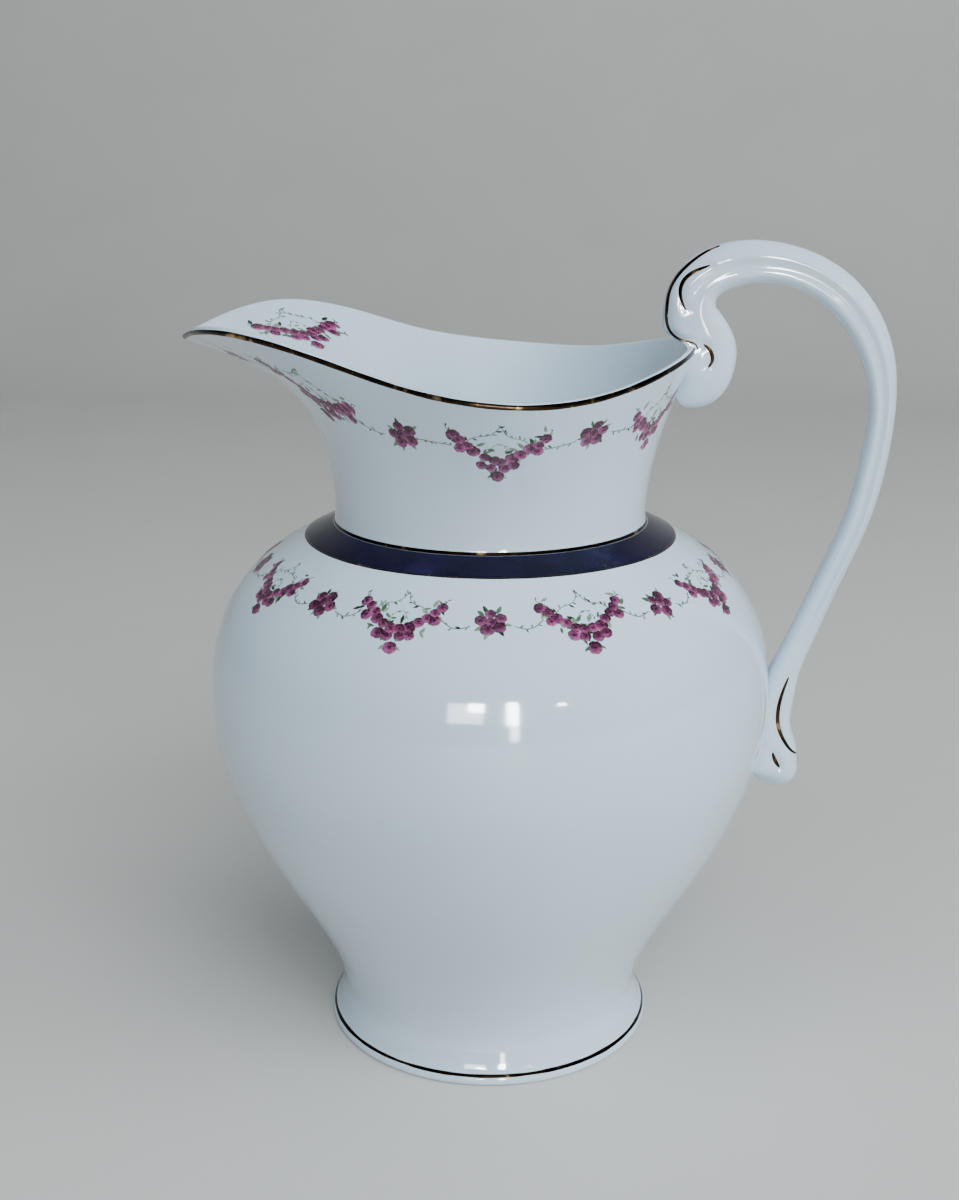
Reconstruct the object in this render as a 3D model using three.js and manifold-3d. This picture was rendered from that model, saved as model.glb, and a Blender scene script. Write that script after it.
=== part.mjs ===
// A large porcelain jug on a spreading foot, with a waisted collar, a broad
// pouring lip and a tall looped handle. Millimetres, +Z up, standing on Z = 0.
// The lip points along -X and the handle along +X, and the potted pieces are
// symmetric about the XZ plane. Most functions work about the jug's own axis;
// the group shifts them so that the overall length is centred on the origin.
import * as THREE from 'three';
import { mergeVertices } from 'three/addons/utils/BufferGeometryUtils.js';
import Module from 'manifold-3d';

const wasm = await Module();
wasm.setup();

// ---------------------------------------------------------------- dimensions
const lipReach = 112;            // from the jug's axis to the tip of the lip
const handleReach = 144.6;       // from the jug's axis to the back of the handle
const axisX = (lipReach - handleReach) / 2;

const wall = 4;
const lipWall = 3;
const joint = 0.3;               // gap that stands for a luted joint

const footRadius = 62.5;
const footEdge = 3;              // height of the foot's upright edge
const footRingWidth = 6.5;
const footRecess = 4;            // hollow under the base
const baseThickness = 5;
const waistRadius = 57.7;
const waistHeight = 16.5;
const bellyRadius = 104.7;
const bellyHeight = 136;         // where the belly is widest
const bandRadius = 67.9;         // outer edge of the cobalt band
const bandHeight = 195.8;
const collarRadius = 57;         // foot of the collar
const collarHeight = 200.6;
const neckBase = collarHeight + joint;

const skinGap = 0.3;             // decoration layers clear the glaze by this
const rimGap = 0.5;              // or by this over the rim
const lipGap = 0.8;              // or by this inside the lip's curl
const skin = 0.3;                // and are this thick
const giltWidth = 1.5;

// Each motif's middle is measured down the profile, from the collar's foot on
// the shoulder and from the garland's own line on the collar.
const shoulderSwag = { down: 31, halfWidth: 16, halfHeight: 10.5 };
const shoulderPosy = { down: 31, halfWidth: 6.3, halfHeight: 6 };
const neckSwag = { down: 5.5, halfWidth: 17, halfHeight: 12 };
const neckPosy = { down: 0, halfWidth: 6.3, halfHeight: 6 };
const lipSwag = { down: -4, halfWidth: 16, halfHeight: 9 };
const lipSwagAngle = 154;
const handleClear = 15;          // degrees beside the handle with no motif

const segments = 48;             // around the jug
const bellySteps = 18;           // up the outside of the belly
const neckSteps = 11;            // up each face of the collar

// ----------------------------------------------------------------- materials
function finish(red, green, blue, roughness, metalness) {
  const color = new THREE.Color().setRGB(red, green, blue, THREE.SRGBColorSpace);
  return new THREE.MeshStandardMaterial({ color, roughness, metalness });
}
const porcelain = finish(0.86, 0.89, 0.92, 0.12, 0);
const gilding = finish(0.72, 0.53, 0.25, 0.3, 1);
const cobalt = finish(0.12, 0.11, 0.3, 0.15, 0);
const roseEnamel = finish(0.68, 0.28, 0.52, 0.3, 0);

// ------------------------------------------------------------------- helpers
const jug = new THREE.Group();
jug.position.x = axisX;

function add(name, geometry, material) {
  const mesh = new THREE.Mesh(geometry, material);
  mesh.name = name;
  jug.add(mesh);
}

const mix = THREE.MathUtils.lerp;
const radians = THREE.MathUtils.degToRad;
const degrees = THREE.MathUtils.radToDeg;
const smooth = THREE.MathUtils.smoothstep;
const wrap = THREE.MathUtils.euclideanModulo;

// A profile of [radius, height] points turned about the Z axis.
function turned(profile) {
  const points = profile.map(([radius, height]) => new THREE.Vector2(radius, height));
  const geometry = new THREE.LatheGeometry(points, segments);
  geometry.rotateX(Math.PI / 2);
  return geometry;
}

// A skin over rings of equal length. The row of rings is either closed on
// itself, or ended by a fan to the middle of each end ring.
function loft(rings, closed) {
  const count = rings[0].length;
  const points = rings.flat();
  const index = [];
  const spans = closed ? rings.length : rings.length - 1;
  for (let i = 0; i < spans; i += 1) {
    const near = i * count;
    const far = ((i + 1) % rings.length) * count;
    for (let j = 0; j < count; j += 1) {
      const next = (j + 1) % count;
      index.push(near + j, near + next, far + next);
      index.push(near + j, far + next, far + j);
    }
  }
  if (!closed) {
    const last = (rings.length - 1) * count;
    const first = points.push(middle(rings[0])) - 1;
    const final = points.push(middle(rings[rings.length - 1])) - 1;
    for (let j = 0; j < count; j += 1) {
      const next = (j + 1) % count;
      index.push(first, next, j);
      index.push(final, last + j, last + next);
    }
  }
  if (signedVolume(points, index) < 0) index.reverse();
  const geometry = new THREE.BufferGeometry();
  geometry.setFromPoints(points);
  geometry.setIndex(index);
  return geometry;
}

// Negative when the triangles face inwards.
function signedVolume(points, index) {
  let sum = 0;
  for (let i = 0; i < index.length; i += 3) {
    const [a, b, c] = [points[index[i]], points[index[i + 1]], points[index[i + 2]]];
    sum += a.dot(b.clone().cross(c)) / 6;
  }
  return sum;
}

function middle(ring) {
  const sum = ring.reduce((total, point) => total.add(point), new THREE.Vector3());
  return sum.divideScalar(ring.length);
}

function toSolid(geometry) {
  const bare = geometry.clone();
  bare.deleteAttribute('normal');
  bare.deleteAttribute('uv');
  const merged = mergeVertices(bare, 1e-4);
  const vertProperties = new Float32Array(merged.attributes.position.array);
  const triVerts = new Uint32Array(merged.index.array);
  return new wasm.Manifold(new wasm.Mesh({ numProp: 3, vertProperties, triVerts }));
}

function fromSolid(solid) {
  const mesh = solid.getMesh();
  const geometry = new THREE.BufferGeometry();
  geometry.setAttribute('position', new THREE.BufferAttribute(mesh.vertProperties, 3));
  geometry.setIndex(new THREE.BufferAttribute(mesh.triVerts, 1));
  return geometry;
}

// A point of a plane curve of (radius, height), pushed sideways by a distance:
// positive is away from the axis on a curve that climbs. Places along a curve
// are shares of its length.
function offsetPoint(curve, t, distance) {
  const point = curve.getPointAt(t);
  const along = curve.getTangentAt(t);
  return [point.x + along.y * distance, point.y - along.x * distance];
}

function offsetProfile(curve, from, to, steps, distance) {
  const profile = [];
  for (let i = 0; i <= steps; i += 1) {
    profile.push(offsetPoint(curve, mix(from, to, i / steps), distance));
  }
  return profile;
}

// The input from 0 to 1 at which a rising function reaches a value.
function solve(rising, value) {
  let low = 0;
  let high = 1;
  for (let i = 0; i < 32; i += 1) {
    const half = (low + high) / 2;
    if (rising(half) < value) low = half;
    else high = half;
  }
  return low;
}

function turnedTo(angle, [radius, height]) {
  return new THREE.Vector3(radius * Math.cos(angle), radius * Math.sin(angle), height);
}

// ---------------------------------------------------------------------- foot
// The sweep from the foot's edge in to the waist.
const footCurve = new THREE.CubicBezierCurve(
  new THREE.Vector2(footRadius, footEdge),
  new THREE.Vector2(footRadius - 2.2, footEdge + 2.5),
  new THREE.Vector2(waistRadius + 0.4, 10),
  new THREE.Vector2(waistRadius, waistHeight),
);

function footGeometry() {
  const inside = waistRadius - wall;
  const floor = footRecess + baseThickness;
  const soleOutside = footRadius - 0.9;
  const soleInside = soleOutside - footRingWidth;
  const fillet = 3;
  return turned([
    [0, footRecess],
    [soleInside - fillet, footRecess],
    [soleInside, 0],
    [soleOutside, 0],
    [footRadius - 0.1, 1],
    ...offsetProfile(footCurve, 0, 1, 6, 0),
    [inside, waistHeight],
    [inside, floor + fillet],
    [inside - fillet, floor],
    [0, floor],
  ]);
}

// --------------------------------------------------------------------- belly
const bellyCurve = new THREE.SplineCurve([
  new THREE.Vector2(waistRadius, waistHeight + joint),
  new THREE.Vector2(62.4, 33),
  new THREE.Vector2(81.4, 66),
  new THREE.Vector2(98.6, 102),
  new THREE.Vector2(bellyRadius, bellyHeight),
  new THREE.Vector2(99.2, 166),
  new THREE.Vector2(83.6, 186),
  new THREE.Vector2(bandRadius, bandHeight),
  new THREE.Vector2(collarRadius + 1, collarHeight),
]);
const bellyLength = bellyCurve.getLength();

function bellyGeometry() {
  const outside = offsetProfile(bellyCurve, 0, 1, bellySteps, 0);
  const inside = offsetProfile(bellyCurve, 0.98, 0, 12, -wall);
  inside[inside.length - 1][1] = outside[0][1];
  const profile = [...outside, [collarRadius - wall, collarHeight], ...inside];
  return turned([...profile, profile[0]]);
}

// ---------------------------------------------------------------------- neck
// The rim from the handle round to the lip: degrees, radius, height.
const rimStations = [
  [0, 71.5, 264],
  [28, 73, 261.8],
  [60, 75.5, 254.8],
  [80, 78.8, 254],
  [100, 76.2, 256.6],
  [118, 75.5, 261.4],
  [135, 86, 269.2],
  [150, 99, 273.4],
  [160, 103.5, 272],
  [170, 106.5, 269.3],
  [180, lipReach - lipWall / 2, 266.4],
];

function rimPoint([angle, radius, height], side) {
  return turnedTo(radians(angle) * side, [radius, height]);
}
const rimCurve = new THREE.CatmullRomCurve3([
  ...rimStations.map((station) => rimPoint(station, 1)),
  ...rimStations.slice(1, -1).reverse().map((station) => rimPoint(station, -1)),
], true);

function angleOf(point) {
  return Math.atan2(point.y, point.x);
}

function rimAt(angle) {
  const turn = (share) => wrap(angleOf(rimCurve.getPointAt(share)), 2 * Math.PI);
  return rimCurve.getPointAt(solve(turn, wrap(angle, 2 * Math.PI)));
}

function rimSamples() {
  return Array.from({ length: segments }, (_, i) => rimCurve.getPointAt(i / segments));
}

// The middle of the collar's wall under one point of the rim. It rises upright
// and flares, gently at the back and sides and in a deep hook under the lip.
function neckProfile(rim) {
  const lip = smooth(Math.abs(angleOf(rim)), radians(105), Math.PI);
  const flare = Math.hypot(rim.x, rim.y) - collarRadius;
  const rise = rim.z - neckBase;
  const profile = new THREE.CubicBezierCurve(
    new THREE.Vector2(collarRadius - wall / 2, neckBase),
    new THREE.Vector2(collarRadius - wall / 2, neckBase + rise * mix(0.36, 0.72, lip)),
    new THREE.Vector2(collarRadius + flare * 0.4, neckBase + rise * mix(0.65, 0.84, lip)),
    new THREE.Vector2(collarRadius + flare, rim.z),
  );
  profile.arcLengthDivisions = 60;
  return profile;
}

// A point of the collar's outer (side 1) or inner (side -1) face, with the
// wall grown by a lift.
function neckPoint(rim, t, side, lift) {
  const halfWall = mix(wall, lipWall, t) / 2;
  return turnedTo(angleOf(rim), offsetPoint(neckProfile(rim), t, side * (halfWall + lift)));
}

function lipPoint(rim, lift) {
  const profile = neckProfile(rim);
  const end = profile.getPointAt(1);
  const along = profile.getTangentAt(1);
  return turnedTo(angleOf(rim), end.addScaledVector(along, lipWall / 2 + lift).toArray());
}

function neckFace(rim, side, lift) {
  return Array.from({ length: neckSteps + 1 }, (_, i) => (
    neckPoint(rim, i / neckSteps, side, lift)));
}

function neckGeometry() {
  const rings = rimSamples().map((rim) => [
    ...neckFace(rim, 1, 0),
    lipPoint(rim, 0),
    ...neckFace(rim, -1, 0).reverse(),
  ]);
  return loft(rings, true);
}

// ------------------------------------------------------------------- cutters
// The belly and the collar filled solid and grown by the joint, to trim the
// ends of the handle where they are luted on.
function bellyCutter() {
  const profile = offsetProfile(bellyCurve, 0, 1, bellySteps, joint);
  return toSolid(turned([[0, waistHeight], ...profile, [0, neckBase]]));
}

function neckCutter() {
  const columns = rimSamples().map((rim) => [...neckFace(rim, 1, joint), lipPoint(rim, joint)]);
  const levels = columns[0].map((_, i) => columns.map((column) => column[i]));
  return toSolid(loft(levels, false));
}

// -------------------------------------------------------------------- handle
// Its middle line in the XZ plane, from the scroll on the rim over the loop
// and down to the tongue on the belly: X, Z, thickness in that plane, width.
const handleStations = [
  [67.4, 244.8, 6, 9],
  [71.2, 247.4, 14, 12.5],
  [74.2, 251.4, 20, 14.5],
  [75.2, 256, 23.6, 15.6],
  [74.8, 261, 26, 16],
  [72.6, 269.5, 23.5, 16],
  [70.6, 277.5, 19, 16],
  [72.6, 285.6, 17, 16],
  [80.8, 291.8, 16, 16],
  [92.5, 294.2, 14.9, 16],
  [106.5, 292.4, 13.8, 15.5],
  [120.1, 285.6, 13.8, 15],
  [131.9, 272.6, 13, 14.5],
  [138.1, 258.2, 11.1, 14],
  [140, 243.9, 9.4, 14],
  [138, 222, 9.4, 13.5],
  [134, 203.3, 9, 13],
  [125.4, 180.7, 9, 13],
  [115.7, 156.2, 9.4, 13],
  [111.3, 145.3, 10.4, 13.5],
  [108.4, 135, 12.8, 14.5],
  [107.3, 127, 13, 15.5],
  [107.2, 121.5, 14, 16.5],
  [107.6, 114, 18.2, 18],
  [107.3, 108.5, 19.8, 19],
  [107.1, 103.7, 18.6, 17.5],
  [106, 99.8, 8, 10],
];

function throughPoints(points) {
  return new THREE.CatmullRomCurve3(points, false, 'catmullrom', 0.5);
}
const handleLine = throughPoints(handleStations.map(([x, z]) => new THREE.Vector3(x, 0, z)));
const handleSize = throughPoints(handleStations.map(([, , thickness, width]) => (
  new THREE.Vector3(thickness / 2, width / 2, 0))));
const sectionPower = 3;          // of the superellipse that is its section

function handleSection(t, corners) {
  const centre = handleLine.getPoint(t);
  const along = handleLine.getTangent(t);
  const size = handleSize.getPoint(t);
  const outward = new THREE.Vector3(-along.z, 0, along.x);
  const swell = (value) => Math.sign(value) * Math.abs(value) ** (2 / sectionPower);
  return Array.from({ length: corners }, (_, i) => {
    const angle = (2 * Math.PI * i) / corners;
    const point = centre.clone().addScaledVector(outward, swell(Math.cos(angle)) * size.x);
    point.y = swell(Math.sin(angle)) * size.y;
    return point;
  });
}

function handleGeometry() {
  const steps = 50;
  const corners = 12;
  const sections = Array.from({ length: steps + 1 }, (_, i) => handleSection(i / steps, corners));
  const blank = toSolid(loft(sections, false));
  return fromSolid(blank.subtract(neckCutter()).subtract(bellyCutter()));
}

// ------------------------------------------------------- lines on the turning
function ringOn(curve, from, to, steps) {
  const inner = offsetProfile(curve, to, from, steps, skinGap);
  const outer = offsetProfile(curve, from, to, steps, skinGap + skin);
  return turned([...outer, ...inner, outer[0]]);
}

const bandStart = solve((t) => bellyCurve.getPointAt(t).y, bandHeight);
const bandEnd = 0.995;

function bandGildingGeometry() {
  const width = giltWidth / bellyLength;
  return ringOn(bellyCurve, bandStart - 1.5 * width, bandStart - 0.5 * width, 1);
}

function collarGildingGeometry() {
  const foot = neckBase + skinGap;
  const upright = new THREE.LineCurve(
    new THREE.Vector2(collarRadius, foot),
    new THREE.Vector2(collarRadius, foot + giltWidth),
  );
  return ringOn(upright, 0, 1, 1);
}

function footGildingGeometry() {
  return ringOn(footCurve, 0.02, 0.02 + giltWidth / footCurve.getLength(), 1);
}

// The line over the rim, broken where the handle sits on it.
function rimGildingGeometry() {
  const sections = rimSamples().slice(1).map((rim) => {
    const edge = 1 - giltWidth / neckProfile(rim).getLength();
    return [
      neckPoint(rim, edge, 1, rimGap + skin),
      neckPoint(rim, 1, 1, rimGap + skin),
      lipPoint(rim, rimGap + skin),
      lipPoint(rim, rimGap),
      neckPoint(rim, 1, 1, rimGap),
      neckPoint(rim, edge, 1, rimGap),
    ];
  });
  return loft(sections, false);
}

// ------------------------------------------------------------------ garlands
// A thin closed patch over a surface. place(u, v, lift) gives a point for u and
// v from -1 to 1, and the patch lies between low(u) and high(u) in v.
function patch(place, { low, high, columns }, gap) {
  const rows = 2;
  const sections = [];
  for (let i = 0; i <= columns; i += 1) {
    const u = mix(-1, 1, i / columns);
    const face = (lift) => Array.from({ length: rows + 1 }, (_, j) => (
      place(u, mix(low(u), high(u), j / rows), lift)));
    sections.push([...face(gap), ...face(gap + skin).reverse()]);
  }
  return loft(sections, false);
}

// A swag hangs lowest in its middle; a posy is a small round bunch.
const swagOutline = {
  low: (u) => 0.9 * Math.abs(u) - 1,
  high: (u) => 1 - 0.35 * Math.abs(u),
  columns: 6,
};
const posyOutline = {
  low: (u) => -Math.sqrt(1 - 0.6 * u * u),
  high: (u) => Math.sqrt(1 - 0.6 * u * u),
  columns: 3,
};

function onShoulder(angle, { down, halfWidth, halfHeight }) {
  const radius = bellyCurve.getPointAt(1 - down / bellyLength).x;
  return (u, v, lift) => {
    const t = 1 - (down - v * halfHeight) / bellyLength;
    return turnedTo(angle + (u * halfWidth) / radius, offsetPoint(bellyCurve, t, lift));
  };
}

// The collar's garland lies this far below the rim, and lower beside the lip.
function garlandDrop(angle) {
  const turn = Math.abs(wrap(angle + Math.PI, 2 * Math.PI) - Math.PI);
  return mix(13.5, 24, smooth(turn, radians(92), radians(128)));
}

function onNeck(angle, { down, halfWidth, halfHeight }, side) {
  const radius = 68;
  const drop = garlandDrop(angle) + down;
  return (u, v, lift) => {
    const rim = rimAt(angle + (u * halfWidth) / radius);
    const t = 1 - (drop - v * halfHeight) / neckProfile(rim).getLength();
    return neckPoint(rim, t, side, lift);
  };
}

// Swags and posies take turns around the jug. They are spread by hand: spread
// is how many degrees the motifs a quarter turn from the first one stray.
function addGarland({ name, repeats, first, spread, motifs, place, clear }) {
  const half = Math.PI / repeats;
  for (let i = 0; i < 2 * repeats; i += 1) {
    const angle = radians(first) + i * half + radians(spread) * Math.sin(i * half);
    const { kind, size, outline } = motifs[i % 2];
    if (Math.cos(angle) < Math.cos(radians(clear))) {
      const number = Math.floor(i / 2) + 1;
      add(`${name}_${kind}_${number}`, patch(place(angle, size), outline, skinGap), roseEnamel);
    }
  }
}

// ------------------------------------------------------- strokes of the brush
// Gilt strokes on each side of the handle, as X, Z points: the curl that runs
// down its inner edge into the scroll, the hook inside the scroll, the comma
// above it, and the long and the short stroke on the tongue.
const strokes = {
  curl: [[65.4, 287.4], [63, 280], [63, 274], [65.2, 269], [70.2, 266.8], [73.4, 264.3]],
  hook: [[75.6, 265.8], [78.6, 262.4], [77.4, 258]],
  comma: [[75.2, 292.2], [69.3, 289], [67.1, 284.5], [68.9, 278.2]],
  long_stroke: [[111.8, 143.1], [109.2, 134.6], [108.7, 124.4], [111.8, 117.4], [116, 112.8]],
  short_stroke: [[107.4, 113.5], [108.3, 110.9], [109.9, 108.2]],
};

// How far the handle's side stands out from the XZ plane at X, Z.
function handleSide(x, z) {
  const samples = 400;
  let nearest = 0;
  let best = Infinity;
  for (let i = 0; i <= samples; i += 1) {
    const centre = handleLine.getPoint(i / samples);
    const distance = Math.hypot(centre.x - x, centre.z - z);
    if (distance < best) {
      best = distance;
      nearest = i / samples;
    }
  }
  const size = handleSize.getPoint(nearest);
  const across = Math.min(best / size.x, 1);
  return size.y * (1 - across ** sectionPower) ** (1 / sectionPower);
}

function strokeGeometry(points, side) {
  const lift = skinGap + 2 * skin;
  const path = points.map(([x, z]) => (
    new THREE.Vector3(x, side * (handleSide(x, z) + lift), z)));
  const section = new THREE.Shape();
  section.absellipse(0, 0, skin, skin, 0, 2 * Math.PI, false, 0);
  return new THREE.ExtrudeGeometry(section, {
    extrudePath: new THREE.CatmullRomCurve3(path),
    steps: 2 * points.length,
    curveSegments: 3,
    bevelEnabled: false,
  });
}

// ------------------------------------------------------------------ assembly
add('foot', footGeometry(), porcelain);
add('belly', bellyGeometry(), porcelain);
add('neck', neckGeometry(), porcelain);
add('handle', handleGeometry(), porcelain);

add('cobalt_band', ringOn(bellyCurve, bandStart, bandEnd, 3), cobalt);
add('rim_gilding', rimGildingGeometry(), gilding);
add('collar_gilding', collarGildingGeometry(), gilding);
add('band_gilding', bandGildingGeometry(), gilding);
add('foot_gilding', footGildingGeometry(), gilding);
for (const [name, points] of Object.entries(strokes)) {
  add(`left_${name}`, strokeGeometry(points, 1), gilding);
  add(`right_${name}`, strokeGeometry(points, -1), gilding);
}

addGarland({
  name: 'shoulder',
  repeats: 9,
  first: -85.5,
  spread: 3.4,
  motifs: [
    { kind: 'posy', size: shoulderPosy, outline: posyOutline },
    { kind: 'swag', size: shoulderSwag, outline: swagOutline },
  ],
  place: onShoulder,
  clear: 0,
});
addGarland({
  name: 'neck',
  repeats: 6,
  first: -84,
  spread: -6,
  motifs: [
    { kind: 'swag', size: neckSwag, outline: swagOutline },
    { kind: 'posy', size: neckPosy, outline: posyOutline },
  ],
  place: (angle, size) => onNeck(angle, size, 1),
  clear: handleClear,
});
const lipAngle = radians(lipSwagAngle);
add('lip_swag_left', patch(onNeck(lipAngle, lipSwag, -1), swagOutline, lipGap), roseEnamel);
add('lip_swag_right', patch(onNeck(-lipAngle, lipSwag, -1), swagOutline, lipGap), roseEnamel);

export default jug;
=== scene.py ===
"""A glazed porcelain jug with a pouring lip and a looped handle, cobalt collar band, gilt lines
and printed rose garlands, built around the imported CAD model."""
import math

import bpy
import numpy as np
from mathutils import Matrix, Vector
from mathutils.bvhtree import BVHTree


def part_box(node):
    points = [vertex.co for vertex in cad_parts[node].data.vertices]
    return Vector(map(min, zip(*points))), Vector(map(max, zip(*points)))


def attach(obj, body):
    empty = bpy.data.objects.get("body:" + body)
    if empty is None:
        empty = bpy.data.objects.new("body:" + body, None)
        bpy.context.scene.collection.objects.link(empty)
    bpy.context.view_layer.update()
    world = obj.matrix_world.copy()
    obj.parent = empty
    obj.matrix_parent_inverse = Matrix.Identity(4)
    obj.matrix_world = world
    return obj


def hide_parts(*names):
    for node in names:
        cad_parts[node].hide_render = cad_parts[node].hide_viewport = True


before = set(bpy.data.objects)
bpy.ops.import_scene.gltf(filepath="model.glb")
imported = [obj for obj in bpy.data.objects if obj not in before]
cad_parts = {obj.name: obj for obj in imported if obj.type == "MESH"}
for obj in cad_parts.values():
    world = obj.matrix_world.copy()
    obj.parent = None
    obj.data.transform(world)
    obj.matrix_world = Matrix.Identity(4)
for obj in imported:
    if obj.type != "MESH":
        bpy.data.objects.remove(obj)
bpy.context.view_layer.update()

# ---------------------------------------------------------------- dimensions
# Shapes are worked out in millimetres about the jug's own axis.
MM = 0.001


def box_mm(node):
    low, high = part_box(node)
    return low / MM, high / MM


foot_low, foot_high = box_mm("foot")
belly_low, belly_high = box_mm("belly")
neck_low, _ = box_mm("neck")
band_low, band_high = box_mm("cobalt_band")
collar_low, collar_high = box_mm("collar_gilding")

AXIS_X = (belly_low.x + belly_high.x) / 2
JOINT = belly_low.z - foot_high.z
WALL = 4.0
LIP_WALL = 3.0
FOOT_RADIUS = (foot_high.x - foot_low.x) / 2
FOOT_EDGE = 3.0
WAIST_RADIUS = FOOT_RADIUS - 4.8
WAIST_HEIGHT = foot_high.z
BELLY_RADIUS = (belly_high.x - belly_low.x) / 2
COLLAR_RADIUS = round((collar_high.x - collar_low.x) / 2 - 2 * JOINT, 1)
COLLAR_HEIGHT = belly_high.z
BAND_RADIUS = round((band_high.x - band_low.x) / 2 - JOINT, 1)
BAND_HEIGHT = round(COLLAR_HEIGHT - 4.8, 1)
LIP_REACH = AXIS_X - neck_low.x
GILT_WIDTH = 1.3
GILT_LIFT = 0.06
COBALT_LIFT = 0.05


# ------------------------------------------------------------------- splines
class Spline:
    """A curve of continuous curvature through its points. Places on it are shares of its length,
    which is measured in its first `lead` columns; further columns are carried along."""

    def __init__(self, points, closed=False, lead=2):
        points = np.asarray(points, float)
        if closed:
            points = np.vstack([points, points[:1]])
        gaps = np.linalg.norm(np.diff(points[:, :lead], axis=0), axis=1)
        self.knots = np.concatenate([[0], np.cumsum(gaps)])
        self.points = points
        self.bends = self.second_derivatives(closed)
        self.fine = np.linspace(0, self.knots[-1], 4001)
        steps = np.diff(self.raw(self.fine)[:, :lead], axis=0)
        self.run = np.concatenate([[0], np.cumsum(np.linalg.norm(steps, axis=1))])
        self.length = self.run[-1]

    def second_derivatives(self, closed):
        count = len(self.points)
        gap = np.diff(self.knots)
        slope = np.diff(self.points, axis=0) / gap[:, None]
        matrix = np.zeros((count, count))
        right = np.zeros_like(self.points)
        for i in range(1, count - 1):
            matrix[i, i - 1:i + 2] = gap[i - 1], 2 * (gap[i - 1] + gap[i]), gap[i]
            right[i] = 6 * (slope[i] - slope[i - 1])
        if closed:
            matrix[0, [0, 1, -2]] = 2 * (gap[0] + gap[-1]), gap[0], gap[-1]
            right[0] = 6 * (slope[0] - slope[-1])
            matrix[-1, 0], matrix[-1, -1] = 1, -1
        else:
            matrix[0, 0] = matrix[-1, -1] = 1
        return np.linalg.solve(matrix, right)

    def raw(self, at, order=0):
        at = np.asarray(at, float)
        i = np.clip(np.searchsorted(self.knots, at, side="right") - 1, 0, len(self.knots) - 2)
        gap = (self.knots[i + 1] - self.knots[i])[..., None]
        a = (self.knots[i + 1] - at)[..., None] / gap
        b = 1 - a
        low, high = self.points[i], self.points[i + 1]
        bend_low, bend_high = self.bends[i], self.bends[i + 1]
        if order == 0:
            cubic = (a**3 - a) * bend_low + (b**3 - b) * bend_high
            return a * low + b * high + cubic * gap**2 / 6
        cubic = (1 - 3 * a**2) * bend_low + (3 * b**2 - 1) * bend_high
        return (high - low) / gap + cubic * gap / 6

    def place(self, share):
        return np.interp(np.asarray(share, float) * self.length, self.run, self.fine)

    def point(self, share):
        return self.raw(self.place(share))

    def along(self, share):
        slope = self.raw(self.place(share), order=1)
        return slope / np.linalg.norm(slope[..., :2], axis=-1, keepdims=True)

    def offset(self, share, lift):
        """A point of a climbing (radius, height) curve, moved away from the axis."""
        point, along = self.point(share), self.along(share)
        out = np.stack([along[..., 1], -along[..., 0]], -1)
        return point[..., :2] + out * np.asarray(lift, float)[..., None]

    def share_at(self, column, value):
        """Where a column that keeps rising reaches a value."""
        return np.interp(value, self.raw(self.fine)[:, column], self.run / self.length)


def smoothstep(value, low, high):
    t = np.clip((np.asarray(value, float) - low) / (high - low), 0, 1)
    return t * t * (3 - 2 * t)


def turned_to(angle, flat):
    """Points at an angle about the axis, from an array whose last axis is (radius, height)."""
    flat = np.asarray(flat, float)
    return np.stack([flat[..., 0] * np.cos(angle), flat[..., 0] * np.sin(angle), flat[..., 1]], -1)


# -------------------------------------------------------------------- meshes
def new_piece(name, points, faces, material, replaced, colours=None):
    """A mesh object from points in millimetres about the jug's axis, riding on the jug."""
    mesh = bpy.data.meshes.new(name)
    placed = np.asarray(points, float).reshape(-1, 3) * MM
    placed[:, 0] += AXIS_X * MM
    mesh.from_pydata(placed.tolist(), [], faces)
    mesh.polygons.foreach_set("use_smooth", [True] * len(mesh.polygons))
    mesh.materials.append(material)
    if colours is not None:
        layer = mesh.color_attributes.new("paint", "FLOAT_COLOR", "POINT")
        rgba = np.concatenate([colours, np.ones((len(colours), 1))], 1)
        layer.data.foreach_set("color", rgba.astype(np.float32).ravel())
    mesh.validate()
    mesh.update()
    piece = bpy.data.objects.new(name, mesh)
    bpy.context.scene.collection.objects.link(piece)
    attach(piece, "root")
    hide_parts(*replaced)
    return piece


def grid_faces(rows, columns, rows_close, columns_close):
    """Quads over a grid of points stored row by row."""
    faces = []
    for i in range(rows if rows_close else rows - 1):
        near, far = i * columns, ((i + 1) % rows) * columns
        for j in range(columns if columns_close else columns - 1):
            k = (j + 1) % columns
            faces.append((near + j, near + k, far + k, far + j))
    return faces


def facing_out(points, faces):
    """The faces, all turned round if they enclose a negative volume."""
    points = np.asarray(points, float).reshape(-1, 3)
    volume = 0.0
    for face in faces:
        corner = points[list(face)]
        for k in range(1, len(face) - 1):
            volume += np.dot(corner[0], np.cross(corner[k], corner[k + 1]))
    return faces if volume > 0 else [tuple(reversed(face)) for face in faces]


def sharpen(piece, degrees):
    """Keeps edges sharper than an angle crisp under smooth shading."""
    piece.data.set_sharp_from_angle(angle=math.radians(degrees))


AROUND = 288


def turned_piece(name, profile, material, replaced, crisp=50):
    """A closed profile of (radius, height) points turned about the axis."""
    profile = np.asarray(profile, float)
    turns = np.arange(AROUND) / AROUND * 2 * math.pi
    rings = np.stack([turned_to(turn, profile) for turn in turns])
    faces = grid_faces(AROUND, len(profile), True, True)
    faces = facing_out(rings, faces)
    piece = new_piece(name, rings, faces, material, replaced)
    sharpen(piece, crisp)
    return piece


# ----------------------------------------------------------------- materials
def node_material(name):
    material = bpy.data.materials.new(name)
    material.use_nodes = True
    shader = material.node_tree.nodes["Principled BSDF"]
    return material, material.node_tree, shader


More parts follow.
